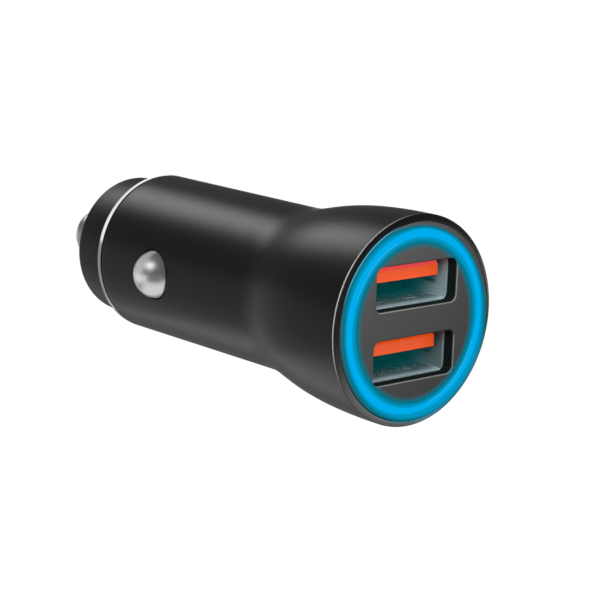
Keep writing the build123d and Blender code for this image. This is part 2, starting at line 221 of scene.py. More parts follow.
class StageSettings(bpy.types.PropertyGroup):
    """The camera and the studio."""

    camera_place: FloatVectorProperty(
        name="Camera place",
        description="Where the camera stands",
        default=(-164.17 * MM, -186.71 * MM, 52.99 * MM),
        subtype="TRANSLATION",
        unit="LENGTH",
        size=3,
    )
    azimuth: view_angle("Azimuth", "Turn of the camera round the plug", -41.529)
    elevation: view_angle("Elevation", "Height of the camera", 12.363)
    roll: view_angle("Roll", "Tilt of the picture", 2.142)
    lens: FloatProperty(name="Lens", description="Focal length in millimetres", default=122.26, min=10.0)
    floor_drop: length("Floor drop", "Depth of the floor below the plug's axis", 75.0)
    floor_glow: amount("Floor glow", "Light of the back-lit floor", 1.0)
    surround: amount("Surround", "Light from the room", 0.16)
    key_light: amount("Key light", "Radiance of the scrim above the nose", 4.7)
    side_light: amount("Side light", "Radiance of the scrim beside the barrel", 2.4)
    front_light: amount("Front light", "Radiance of the softbox before the face", 5.0)
    bezel_light: amount("Bezel light", "Radiance of the softbox under the face", 3.0)
    face_light: amount("Face light", "Radiance of the small softbox over the face", 7.5)
    dome_light: amount("Dome light", "Radiance of the softbox for the side contacts", 0.6)
    dome_fill: amount("Dome fill", "Radiance of the softbox below the side contacts", 0.8)
    ring_light: amount("Ring light", "Radiance of the softbox for the bright ring", 1.25)
    grey_card: amount("Grey card", "Light of the card beside the barrel", 0.36)
    nose_card: amount("Nose card", "Light of the card under the nose", 0.25)
    face_card: amount("Face card", "Light of the card before the face", 0.15)
    corner_card: amount("Corner card", "Light of the card at the lower right", 0.02)


# Shader expressions


class Value:
    """A number socket that takes part in arithmetic, one Math node for each operation."""

    def __init__(self, finish, socket):
        self.finish = finish
        self.socket = socket

    def maths(self, operation, *operands):
        """A Math node over these operands."""
        node = self.finish.node("ShaderNodeMath", {"operation": operation}, dict(enumerate(operands)))
        return Value(self.finish, node.outputs[0])

    def __add__(self, other):
        return self.maths("ADD", self, other)

    def __radd__(self, other):
        return self.maths("ADD", other, self)

    def __sub__(self, other):
        return self.maths("SUBTRACT", self, other)

    def __rsub__(self, other):
        return self.maths("SUBTRACT", other, self)

    def __mul__(self, other):
        return self.maths("MULTIPLY", self, other)

    def __rmul__(self, other):
        return self.maths("MULTIPLY", other, self)

    def __truediv__(self, other):
        return self.maths("DIVIDE", self, other)

    def __rtruediv__(self, other):
        return self.maths("DIVIDE", other, self)

    def __pow__(self, other):
        return self.maths("POWER", self, other)

    def __rpow__(self, other):
        return self.maths("POWER", other, self)

    def __abs__(self):
        return self.maths("ABSOLUTE", self)

    def larger(self, other):
        """The larger of two values."""
        return self.maths("MAXIMUM", self, other)

    def smaller(self, other):
        """The smaller of two values."""
        return self.maths("MINIMUM", self, other)

    def below(self, edge, softness):
        """1 below an edge and 0 above it, with a soft step between."""
        return self.between(edge + softness / 2, edge - softness / 2)

    def between(self, start, end):
        """0 at start and 1 at end, level outside."""
        node = self.finish.node(
            "ShaderNodeMapRange",
            {"interpolation_type": "SMOOTHSTEP"},
            {"Value": self, "From Min": start, "From Max": end, "To Min": 0.0, "To Max": 1.0},
        )
        return Value(self.finish, node.outputs["Result"])


class Nodes:
    """A node tree that is added to one node at a time."""

    def __init__(self, tree):
        self.tree = tree

    def feed(self, socket, given):
        """Links a socket to a value, or sets it."""
        if isinstance(given, Value):
            self.tree.links.new(given.socket, socket)
        elif isinstance(given, bpy.types.NodeSocket):
            self.tree.links.new(given, socket)
        elif hasattr(given, "__len__") and socket.type == "RGBA" and len(given) == 3:
            socket.default_value = (*given, 1.0)
        else:
            socket.default_value = given

    def node(self, kind, settings, sockets):
        """Any node: its settings first, then the values or links of its sockets."""
        made = self.tree.nodes.new(kind)
        for name, given in settings.items():
            setattr(made, name, given)
        for key, given in sockets.items():
            self.feed(made.inputs[key], given)
        return made


class Finish(Nodes):
    """A material with one principled shader, and the nodes that feed it."""

    def __init__(self, name, **constants):
        self.material = bpy.data.materials.new(name)
        self.material.use_nodes = True
        super().__init__(self.material.node_tree)
        self.shader = self.tree.nodes["Principled BSDF"]
        self.millimetres = None
        self.set(**constants)

    def set(self, **sockets):
        """Sets or links the shader's sockets, named with underscores."""
        for name, given in sockets.items():
            self.feed(self.shader.inputs[name.replace("_", " ").title().replace("Ior", "IOR")], given)

    def place(self):
        """The point on the plug, in millimetres, as a vector socket."""
        if self.millimetres is None:
            point = self.node("ShaderNodeTexCoord", {}, {})
            scaled = self.node(
                "ShaderNodeVectorMath",
                {"operation": "SCALE"},
                {"Vector": point.outputs["Object"], "Scale": 1 / MM},
            )
            self.millimetres = scaled.outputs["Vector"]
        return self.millimetres

    def axes(self):
        """The point's x, y and z in millimetres."""
        parts = self.node("ShaderNodeSeparateXYZ", {}, {"Vector": self.place()})
        return tuple(Value(self, parts.outputs[axis]) for axis in "XYZ")

    def stretched(self, x, y, z):
        """The point with each axis scaled, for grain that runs one way."""
        sockets = {0: self.place(), 1: (x, y, z)}
        return self.node("ShaderNodeVectorMath", {"operation": "MULTIPLY"}, sockets).outputs["Vector"]

    def noise(self, per_millimetre, detail=2.0, vector=None):
        """Cloudy noise from 0 to 1."""
        made = self.node(
            "ShaderNodeTexNoise",
            {"noise_dimensions": "3D"},
            {"Vector": vector or self.place(), "Scale": per_millimetre, "Detail": detail, "Roughness": 0.55},
        )
        return Value(self, made.outputs[0])

    def blend(self, share, first, second):
        """One colour into another by a share."""
        made = self.node(
            "ShaderNodeMix",
            {"data_type": "RGBA", "blend_type": "MIX", "clamp_factor": True},
            {0: share, 6: first, 7: second},
        )
        return made.outputs[2]

    def bump(self, height, strength, depth):
        """Turns a height into the shader's normal. Depth is in millimetres."""
        sockets = {"Strength": strength, "Distance": depth * MM, "Height": height}
        self.set(normal=self.node("ShaderNodeBump", {}, sockets).outputs["Normal"])

    def facing(self, x, y, z):
        """How far the surface looks along a direction, from -1 to 1."""
        geometry = self.node("ShaderNodeNewGeometry", {}, {})
        sockets = {0: geometry.outputs["Normal"], 1: (x, y, z)}
        made = self.node("ShaderNodeVectorMath", {"operation": "DOT_PRODUCT"}, sockets)
        return Value(self, made.outputs["Value"])


def tinted(shade, share):
    """A colour made lighter or darker by a share."""
    return tuple(min(1.0, part * share) for part in shade)


def light_radius(finish, face):
    """Distance from the middle of the ring's light, whose outline leans a little to the upper left."""
    x, _, z = finish.axes()
    low = z + face.glow_drop / MM
    wide = 2 * face.glow_lean * math.cos(LEAN_ANGLE)
    slant = 4 * face.glow_lean * math.sin(LEAN_ANGLE)
    return ((1 + wide) * (x * x) + (1 - wide) * (low * low) + slant * (x * low)) ** 0.5


def from_ring(finish, face, ring_inner, ring_outer, upper_spread=0.0):
    """How far a point lies from the ring's light, which spreads outwards unevenly round the face."""
    x, _, z = finish.axes()
    radius = light_radius(finish, face)
    lower_right = ((x - z) / radius).between(*DIAGONAL)
    upper_right = ((0.5 * x + z) / radius).between(*UPPER_RIGHT)
    upper_left = ((z - x) / radius).between(*DIAGONAL)
    slower = LOWER_RIGHT_SPREAD * lower_right + upper_spread * upper_left
    outside = (radius - ring_outer / MM) * (FADE + UPPER_RIGHT_FADE * upper_right - slower)
    return (ring_inner / MM - radius).larger(outside).larger(0.0)


def lit_by_ring(finish, face, distance, share, dark):
    """Base colour and light of a surface beside the ring, whose light covers it close by and then fades."""
    reach = face.glow_reach / MM
    cover = distance.between(1.4 * reach, 0.55 * reach) * share
    near = finish.blend(distance.between(0.0, 0.7 * reach), face.near_glow, face.glow_colour)
    return finish.blend(cover, dark, BLACK), finish.blend(cover, BLACK, near)


# Finishes


def anodised_black(colours, face, ring_inner, ring_outer, face_y, edge_y, head, mouth):
    """Satin black anodised metal, faintly clouded, with the ring's light on the bezel."""
    finish = Finish("anodised black", ior=1.5, specular_ior_level=0.38)
    cloud = finish.noise(per_millimetre=0.18, detail=3.0)
    grain = finish.noise(per_millimetre=9.0, detail=3.0)
    black = finish.blend(cloud, tinted(colours.housing, 0.85), tinted(colours.housing, 1.15))
    finish.set(roughness=0.3 + 0.04 * cloud + 0.03 * grain)
    x, y, z = finish.axes()
    front = y.below(face_y / MM + 0.55, 0.3)
    distance = from_ring(finish, face, ring_inner, ring_outer)
    radius = (x * x + z * z) ** 0.5
    # A painted highlight: a pale line in the rim colour along the rim's edge, where it looks to the upper
    # left
    edge = edge_y / MM
    behind_edge = y.between(edge + 0.05, edge + 0.1)
    rim = radius.between(head / MM - 0.13, head / MM - 0.07) * (1 - behind_edge)
    rim = rim * finish.facing(-0.87, 0.0, 0.5).between(0.35, 0.8)
    cut = finish.blend(rim, black, colours.rim)
    base, light = lit_by_ring(finish, face, distance, front * HOUSING_SHARE, cut)
    # A glint along the mouth at the upper left
    mouth_line = radius.between(mouth / MM + 0.16, mouth / MM + 0.08)
    glint = mouth_line * ((z - x) / radius).between(*DIAGONAL_LINE) * front
    glowing = finish.blend(glint, light, face.glint_colour)
    finish.set(base_color=base, emission_color=glowing, emission_strength=1.0)
    finish.bump(grain, strength=0.12, depth=0.012)
    return finish.material


def moulded_grey(colours, face, ring_inner, ring_outer, face_y):
    """Fine matt grain, and the ring's light spilling over it."""
    finish = Finish("moulded grey", specular_ior_level=0.06)
    grain = finish.noise(per_millimetre=14.0, detail=3.0)
    cloud = finish.noise(per_millimetre=0.35, detail=2.0)
    y = finish.axes()[1]
    front_y = face_y / MM
    open_face = finish.blend(cloud, tinted(colours.plate, 0.92), tinted(colours.plate, 1.08))
    # Painted shade darkens the cut-outs' walls, and a painted highlight lies on their front bevels where
    # they look to the upper left
    walls = y.between(front_y + 0.12, front_y + 0.3)
    bevel = y.between(front_y + 0.01, front_y + 0.05) * (1 - y.between(front_y + 0.12, front_y + 0.16))
    edges = bevel * finish.facing(-0.6, 0.0, 0.8).between(0.1, 0.4)
    shaded = finish.blend(walls, open_face, (0.008, 0.014, 0.014))
    grey = finish.blend(edges, shaded, colours.bevel_highlight)
    finish.set(roughness=0.5 + 0.12 * grain)
    distance = from_ring(finish, face, ring_inner, ring_outer, PLATE_SPREAD)
    base, light = lit_by_ring(finish, face, distance, 1 - walls, grey)
    finish.set(base_color=base, emission_color=light, emission_strength=1.0)
    finish.bump(grain, strength=0.25, depth=0.015)
    return finish.material


def lit_ring(face, ring_inner, ring_outer):
    """A clear moulding lit from behind: even in the middle and deeper at its edges."""
    finish = Finish("lit ring", base_color=BLACK, roughness=0.3, specular_ior_level=0.0)
    radius = light_radius(finish, face)
    middle = (ring_inner + ring_outer) / 2 / MM
    half = (ring_outer - ring_inner) / 2 / MM
    across = (radius - middle) * (1 / half)
    edge = abs(across).between(0.75, 1.1)
    x, _, z = finish.axes()
    # Painted highlights: fine pale lines near both edges, on parts of the ring only
    inner_highlight = abs(across + LINE_PLACE).between(*FINE_LINE)
    inner_highlight = inner_highlight * (abs(x - z) / radius).between(*DIAGONAL_LINE) * 0.34
    outer_highlight = abs(across - LINE_PLACE).between(*FINE_LINE) * (x / radius).between(-0.9, -0.98) * 0.08
    flow = finish.noise(per_millimetre=0.5, detail=2.0)
    core = finish.blend(flow, tinted(face.ring_colour, 0.97), tinted(face.ring_colour, 1.0))
    with_highlights = finish.blend(inner_highlight.larger(outer_highlight), core, face.ring_highlight_colour)
    finish.set(emission_color=finish.blend(edge, with_highlights, face.near_glow), emission_strength=1.0)
    finish.bump(flow, strength=0.05, depth=0.02)
    return finish.material


def plated_sheet(colours, front_y, back_y, seams):
    """Plated steel sheet with drawn lines and a seam along its side walls; painted shade makes it duller and
    bluish at the back.
    """
    finish = Finish("plated sheet")
    _, y, z = finish.axes()
    front = front_y / MM
    drawn = finish.noise(1.0, 4.0, finish.stretched(9.0, 0.5, 9.0))
    # Painted shade: from nothing near the front to all at the back of the port
    depth = y.between(front + 0.5, back_y / MM - 5.5)
    near = finish.blend(drawn, tinted(colours.steel, 0.86), tinted(colours.steel, 1.12))
    # Painted light makes a port's floor brightest at its front edge, and painted shade darkens it a little
    # way in
    floor = finish.facing(0.0, 0.0, 1.0).between(0.5, 0.9)
    floor_shade = floor * y.between(front + 0.5, front + 2.4)
    near = finish.blend(floor * y.between(front + 1.6, front), near, tinted(colours.steel, 1.8))
    # The side walls have a dark seam, and those of the lower port lie in more shade
    wall = abs(finish.facing(1.0, 0.0, 0.0)).between(0.6, 0.9)
    from_seam = abs(z - seams[0] / MM).smaller(abs(z - seams[1] / MM))
    seam = from_seam.between(0.4, 0.1) * y.between(front + 1.2, front + 2.2)
    shade = wall * (0.5 * z.below(0.0, 1.0)).larger(0.75 * seam)
    # The steel turns dark teal with painted shade at the back, a little way in on the floor and on the lower
    # port's walls, and along the seam
    shaded_steel = finish.blend(depth.larger(0.8 * floor_shade).larger(shade), near, (0.0, 0.03, 0.03))
    # Painted glints: pale specks on the floor near its spring fingers
    fingers = y.between(front + 1.5, front + 2.0)
    fingers = fingers * y.between(front + 3.6, front + 3.0)
    glint_specks = finish.noise(per_millimetre=5.0, detail=4.0).between(0.56, 0.66) * fingers * floor
    finish.set(base_color=finish.blend(glint_specks, shaded_steel, (0.9, 0.95, 0.95)), roughness=0.3 + 0.16 * drawn)
    finish.set(metallic=0.45 - 0.45 * glint_specks)
    leak = finish.blend(y.between(front + 1.0, front + 5.0), BLACK, colours.leak)
    finish.set(emission_color=leak, emission_strength=1.0)
    finish.bump(drawn, strength=0.2, depth=0.012)
    return finish.material


def moulded_orange(colours, front_y):
    """Slightly glossy orange plastic, in shade under the tongue and at the back of the port."""
    finish = Finish("moulded orange", specular_ior_level=0.4)
    cloud = finish.noise(per_millimetre=0.6, detail=2.0)
    grain = finish.noise(per_millimetre=11.0, detail=2.0)
    orange = finish.blend(cloud, tinted(colours.tongue, 0.94), tinted(colours.tongue, 1.05))
    upright = finish.facing(0.0, 0.0, 1.0)
    _, y, z = finish.axes()
    front = front_y / MM
    # Painted highlight: the upward faces of the upper tongue take the lighter pink edge colour
    orange_top_lit = finish.blend(upright.between(0.3, 0.6) * z.between(0.0, 1.0), orange, colours.tongue_top_highlight)
    under = upright.between(-0.5, -0.8).larger(y.between(front + 1.5, front + 4.0))
    # Half of the colour takes the studio's light, and a glow of its own keeps the front even
    lit = finish.blend(0.5, orange_top_lit, BLACK)
    finish.set(base_color=finish.blend(under, lit, (0.003, 0.02, 0.02)), roughness=0.38 + 0.1 * grain)
    hidden = under.larger(abs(finish.facing(1.0, 0.0, 0.0)).between(0.6, 0.9))
    finish.set(emission_color=finish.blend(hidden, orange_top_lit, BLACK), emission_strength=0.77)
    finish.bump(grain, strength=0.12, depth=0.01)
    return finish.material


def moulded_black(colours):
    """Satin black plastic of the nose cap and the inner mouldings."""
    finish = Finish("moulded black", specular_ior_level=0.38)
    grain = finish.noise(per_millimetre=8.0, detail=3.0)
    cloud = finish.noise(per_millimetre=0.25, detail=2.0)
    finish.set(
        base_color=finish.blend(cloud, tinted(colours.cap, 0.85), tinted(colours.cap, 1.2)),
        roughness=0.36 + 0.1 * grain,
    )
    finish.bump(grain, strength=0.15, depth=0.012)
    return finish.material


def bright_plate(colours, name="bright plate", roughness=0.3, seam=None):
    """Bright nickel plate with faint handling marks, and painted shade in the seams of a clamped ring."""
    finish = Finish(name, metallic=1.0)
    mark = finish.noise(per_millimetre=1.4, detail=4.0)
    fine = finish.noise(1.0, 3.0, finish.stretched(4.0, 4.0, 4.0))
    plated = finish.blend(mark, tinted(colours.bright, 0.93), tinted(colours.bright, 1.04))
    if seam:
        y = finish.axes()[1]
        middle = (seam[0] + seam[1]) / 2 / MM
        half = (seam[1] - seam[0]) / 2 / MM
        # Painted shade darkens both ends of the ring, along its seams
        dark = abs(y - middle).between(half - 0.16, half - 0.08)
        plated = finish.blend(dark, plated, (0.005, 0.005, 0.005))
    finish.set(base_color=plated, roughness=roughness + 0.1 * mark)
    finish.bump(fine, strength=0.06, depth=0.01)
    return finish.material


def drawn_wire():
    """Spring steel with lines along its length."""
    finish = Finish("drawn wire", metallic=1.0)
    lines = finish.noise(1.0, 3.0, finish.stretched(14.0, 3.0, 14.0))
    steel = finish.blend(lines, (0.4, 0.4, 0.41), (0.62, 0.62, 0.63))
    finish.set(base_color=steel, roughness=0.28 + 0.15 * lines)
    finish.bump(lines, strength=0.1, depth=0.01)
    return finish.material


def gilded_strip(colours, front_y):
    """Gilded contact strip, with painted shade darkening its front end under the tongue."""
    finish = Finish("gilded strip", metallic=1.0)
    mark = finish.noise(per_millimetre=2.0, detail=3.0)
    y = finish.axes()[1]
    gilt = finish.blend(mark, tinted(colours.brass, 0.85), tinted(colours.brass, 1.1))
    # Painted shade: the strip's front end, under the tongue, turns dark
    tip = y.between(front_y / MM + 1.2, front_y / MM + 0.4)
    finish.set(base_color=finish.blend(tip, gilt, (0.006, 0.012, 0.012)), roughness=0.22 + 0.15 * mark)
    finish.bump(mark, strength=0.06, depth=0.01)
    return finish.material


def green_board(colours):
    """Lacquered laminate with the faint ridges of its copper tracks."""
    finish = Finish("green board", specular_ior_level=0.5)
    x = finish.axes()[0]
    drift = finish.noise(per_millimetre=0.5, detail=1.0)
    across = x + 1.2 * drift
    wave = across.maths("FRACT", across * 0.8)
    track = abs(wave - 0.5).between(0.2, 0.26)
    finish.set(
        base_color=finish.blend(track, tinted(colours.board, 0.75), tinted(colours.board, 1.35)),
        roughness=0.3 + 0.1 * drift,
    )
    finish.bump(track, strength=0.3, depth=0.03)
    return finish.material


def lamp_resin():
    """Pale cast resin over a lamp, warm towards its middle."""
    finish = Finish("lamp resin", roughness=0.3, specular_ior_level=0.5)
    cloud = finish.noise(per_millimetre=2.5, detail=2.0)
    finish.set(base_color=finish.blend(cloud, (0.75, 0.66, 0.3), (0.9, 0.85, 0.6)))
    finish.bump(cloud, strength=0.1, depth=0.02)
    return finish.material


def drawn_can():
    """Aluminium can with drawing lines up its side."""
    finish = Finish("drawn can", metallic=1.0)
    lines = finish.noise(1.0, 3.0, finish.stretched(8.0, 8.0, 0.7))
    aluminium = finish.blend(lines, (0.62, 0.62, 0.64), (0.8, 0.8, 0.82))
    finish.set(base_color=aluminium, roughness=0.25 + 0.15 * lines)
    finish.bump(lines, strength=0.1, depth=0.01)
    return finish.material


def pressed_powder():
    """Dark grey pressed iron powder."""
    finish = Finish("pressed powder", specular_ior_level=0.3)
    speck = finish.noise(per_millimetre=16.0, detail=3.0)
    powder = finish.blend(speck, (0.05, 0.05, 0.052), (0.14, 0.14, 0.145))
    finish.set(base_color=powder, roughness=0.6 + 0.2 * speck)
    finish.bump(speck, strength=0.4, depth=0.03)
    return finish.material


# Mesh makers


def rounded(corners, steps=ROUNDING_STEPS):
    """A closed outline of (radius, station, rounding) corners with arcs in place of the rounded ones."""
    outline = []
    count = len(corners)
    for index, (r, y, rounding) in enumerate(corners):
        here = Vector((r, y))
        if rounding <= 0:
            outline.append(here)
            continue
        before = Vector(corners[index - 1][:2]) - here
        after = Vector(corners[(index + 1) % count][:2]) - here
        half = before.angle(after) / 2
        back = min(rounding / math.tan(half), before.length * 0.98, after.length * 0.98)
        bisector = (before.normalized() + after.normalized()).normalized()
        radius = back * math.tan(half)
        centre = here + bisector * (radius / math.sin(half))
        start = here + before.normalized() * back - centre
        end = here + after.normalized() * back - centre
        turn = start.angle_signed(end)
        for step in range(steps + 1):
            angle = -turn * step / steps
            outline.append(centre + Vector((
                start.x * math.cos(angle) - start.y * math.sin(angle),
                start.x * math.sin(angle) + start.y * math.cos(angle),
            )))
    return outline


def turned(name, outline, segments, axis="Y", centre=(0.0, 0.0, 0.0)):
    """A piece turned from a closed outline of (radius, station) points about an axis."""
    work = bmesh.new()
    rings = []
    for radius, station in outline:
        if radius < 1e-7:
            angles = [0.0]
        else:
            angles = [2 * math.pi * step / segments for step in range(segments)]
        ring = []
        for angle in angles:
            out, up = radius * math.cos(angle), radius * math.sin(angle)
            point = (out, station, up) if axis == "Y" else (station, out, up)
            ring.append(work.verts.new(Vector(point) + Vector(centre)))
        rings.append(ring)
    for first, second in zip(rings, rings[1:] + rings[:1]):
        if len(first) == 1 and len(second) == 1:
            continue
        for step in range(segments):
            here, there = step, (step + 1) % segments
            if len(first) == 1:
                work.faces.new((first[0], second[here], second[there]))
            elif len(second) == 1:
                work.faces.new((first[here], second[0], first[there]))
            else:
                work.faces.new((first[here], second[here], second[there], first[there]))
    bmesh.ops.recalc_face_normals(work, faces=work.faces)
    return finished(name, work)


def finished(name, work):
    """An object from a bmesh, smooth but for its sharp edges."""
    mesh = bpy.data.meshes.new(name)
    work.to_mesh(mesh)
    work.free()
    made = bpy.data.objects.new(name, mesh)
    bpy.context.scene.collection.objects.link(made)
    soften(mesh)
    return made


def soften(mesh):
    """Smooth shading with sharp edges kept."""
    mesh.shade_smooth()
    mesh.set_sharp_from_angle(angle=SMOOTH_LIMIT)


def cut(piece, cutter):
    """Takes the cutter's volume out of the piece, and the cutter out of the scene."""
    tool = piece.modifiers.new("cut", "BOOLEAN")
    tool.object = cutter
    tool.operation = "DIFFERENCE"
    tool.solver = "EXACT"
    graph = bpy.context.evaluated_depsgraph_get()
    mesh = bpy.data.meshes.new_from_object(piece.evaluated_get(graph))
    piece.modifiers.clear()
    old = piece.data
    piece.data = mesh
    bpy.data.meshes.remove(old)
    spare = cutter.data
    bpy.data.objects.remove(cutter)
    bpy.data.meshes.remove(spare)
    soften(mesh)
    return piece


def dress(piece, material):
    """Gives a piece one material."""
    piece.data.materials.clear()
    piece.data.materials.append(material)


def stand_in(piece, node, body, material):
    """A fine piece takes the place of a solid."""
    dress(piece, material)
    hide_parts(node)
    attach(piece, body)
    return piece


def dress_nodes(material, *nodes):
    """Gives solids that keep their shape a better material."""
    for name in nodes:
        for place in frame["nodes"][name].material_slots:
            place.material = material


def soft_edges(piece, rounding):
    """Rounds the sharp edges of a solid with modifiers."""
    weld = piece.modifiers.new("weld", "WELD")
    weld.merge_threshold = WELD_DISTANCE
    bevel = piece.modifiers.new("soft edges", "BEVEL")
    bevel.width = rounding
    bevel.segments = 2
    bevel.limit_method = "ANGLE"
    bevel.angle_limit = SMOOTH_LIMIT
    bevel.harden_normals = True


def flare_points(sizes, head, barrel):
    """Points on the flare, which leaves the head and arrives at the barrel level."""
    start = Vector((head, sizes.head_band - sizes.head_length))
    end = Vector((barrel, -sizes.neck_set_back))
    knots = (start, start + Vector((0, sizes.shoulder_pull)), end - Vector((0, sizes.neck_pull)), end)
    points = []
    for step in range(1, FLARE_STEPS + 1):
        t = step / FLARE_STEPS
        weights = ((1 - t) ** 3, 3 * (1 - t) ** 2 * t, 3 * (1 - t) * t * t, t**3)
        points.append(sum((knot * weight for knot, weight in zip(knots, weights)), Vector((0, 0))))
    return points


def ring_radii(face):
    """Inner and outer radius of the light ring, which fills its groove."""
    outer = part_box("light_ring")[1].x + CAD_SLIP
    return outer - face.ring_width, outer


# Pieces


class CHARGER_OT_housing(bpy.types.Operator):
    """Turn the housing with its flare, rounded rims and contact holes"""

    bl_idname = "charger.housing"
    bl_label = "Housing"

    def execute(self, context):
        sizes = context.scene.charger_housing
        face = context.scene.charger_face
        low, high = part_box("housing")
        plate_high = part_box("face_plate")[1]
        head, barrel = min(high.x, high.z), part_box("nose_ring")[1].z
        mouth = plate_high.x + 2 * CAD_SLIP
        edge_y = -sizes.head_length
        bore = barrel - sizes.wall
        lip = barrel - sizes.lip_wall
        lamp_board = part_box("led_board")
        lamp_bore = lamp_board[1].x + 2 * CAD_SLIP
        port_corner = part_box("upper_port_shell")[1]
        port_bore = math.hypot(port_corner.x, port_corner.z) + CAD_RUNNING
        port_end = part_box("upper_port_contacts")[1].y + CAD_LOOSE
        flare = flare_points(sizes, head, barrel)
        spigot_y = high.y - sizes.lip_length
        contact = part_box("side_contact_left")
        contact_y = (contact[0].y + contact[1].y) / 2
        stations = [high.y * step / BARREL_STEPS for step in range(1, BARREL_STEPS)]
        corners = [
            (mouth, low.y, sizes.mouth_round),
            (head, edge_y, sizes.rim_round),
            (head, edge_y + sizes.head_band, 0),
            *[(point.x, point.y, 0) for point in flare],
            (barrel, 0.0, 0),
            *[(barrel, station, 0) for station in stations],
            (barrel, high.y, sizes.end_round),
            (lip, high.y, 0),
            (lip, spigot_y, 0),
            (bore, spigot_y, 0),
            *[(bore, station, 0) for station in reversed(stations) if station < spigot_y],
            (bore, 0.0, 0),
            (bore, port_end, 0),
            (port_bore, port_end, 0),
            (port_bore, lamp_board[1].y, 0),
            (lamp_bore, lamp_board[1].y, 0),
            (lamp_bore, plate_high.y, 0),
            (mouth, plate_high.y, 0),
        ]
        piece = turned("housing_shell", rounded(corners), sizes.segments)
        reach = head * 1.2
        radius = sizes.hole_radius
        outline = [(0, -reach), (radius, -reach), (radius, reach), (0, reach)]
        cut(piece, turned("contact_hole", outline, HOLE_SEGMENTS, "X", (0.0, contact_y, 0.0)))
        inner, outer = ring_radii(face)
        colours = context.scene.charger_colours
        material = anodised_black(colours, face, inner, outer, low.y, edge_y, head, mouth)
        stand_in(piece, "housing", "body", material)
        return {"FINISHED"}


class CHARGER_OT_face(bpy.types.Operator):
    """Finish the face plate and make the lit ring"""

    bl_idname = "charger.face"
    bl_label = "Face and light ring"

    def execute(self, context):
        face = context.scene.charger_face
        colours = context.scene.charger_colours
        inner, outer = ring_radii(face)
        dress_nodes(moulded_grey(colours, face, inner, outer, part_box("face_plate")[0].y), "face_plate")
        low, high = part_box("light_ring")
        rim = face.ring_round
        corners = [
            (inner, low.y, rim),
            (outer, low.y, rim),
            (outer, high.y, 0),
            (inner, high.y, 0),
        ]
        ring = turned("light_guide", rounded(corners), context.scene.charger_housing.segments)
        stand_in(ring, "light_ring", "body", lit_ring(face, inner, outer))
        return {"FINISHED"}


class CHARGER_OT_ports(bpy.types.Operator):
    """Finish the port shells, tongues and contact strips"""

    bl_idname = "charger.ports"
    bl_label = "Ports"

    def execute(self, context):
        colours = context.scene.charger_colours
        face = context.scene.charger_face
        low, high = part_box("upper_port_shell")
        middles = (high.z - face.port_height / 2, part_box("lower_port_shell")[0].z + face.port_height / 2)
        sheet = plated_sheet(colours, low.y, high.y, [middle - face.seam_drop for middle in middles])
        dress_nodes(sheet, "upper_port_shell", "lower_port_shell")
        orange = moulded_orange(colours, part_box("upper_port_tongue")[0].y)
        dress_nodes(orange, "upper_port_tongue", "lower_port_tongue")
        for name in ("upper_port_tongue", "lower_port_tongue"):
            soft_edges(frame["nodes"][name], face.tongue_round)
        strips = gilded_strip(colours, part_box("upper_port_contacts")[0].y)
        dress_nodes(strips, "upper_port_contacts", "lower_port_contacts", "tip_terminal")
        return {"FINISHED"}


class CHARGER_OT_side_contacts(bpy.types.Operator):
    """Turn the two domed side contacts"""

    bl_idname = "charger.side_contacts"
    bl_label = "Side contacts"

    def execute(self, context):
        sizes = context.scene.charger_contacts
        material = bright_plate(context.scene.charger_colours)
        turns = [math.pi / 2 * step / DOME_STEPS for step in range(DOME_STEPS + 1)]
        for name, sign in (("left", -1), ("right", 1)):
            low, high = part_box(f"side_contact_{name}")
            apex = max(abs(low.x), abs(high.x))
            back = min(abs(low.x), abs(high.x))
            stop = back + sizes.flange_thickness
            flange = sizes.dome_radius + sizes.flange_width
            dome = sizes.dome_radius
            middle = apex - dome
            outline = [(dome * math.sin(turn), middle + dome * math.cos(turn)) for turn in turns]
            outline += [(dome, stop), (flange, stop), (flange, back), (0.0, back)]
            outline = [(radius, sign * station) for radius, station in outline]
            centre = (0.0, (low.y + high.y) / 2, 0.0)
            piece = turned(f"side_dome_{name}", outline, CONTACT_SEGMENTS, "X", centre)
            stand_in(piece, f"side_contact_{name}", f"{name}_contact", material)
        return {"FINISHED"}


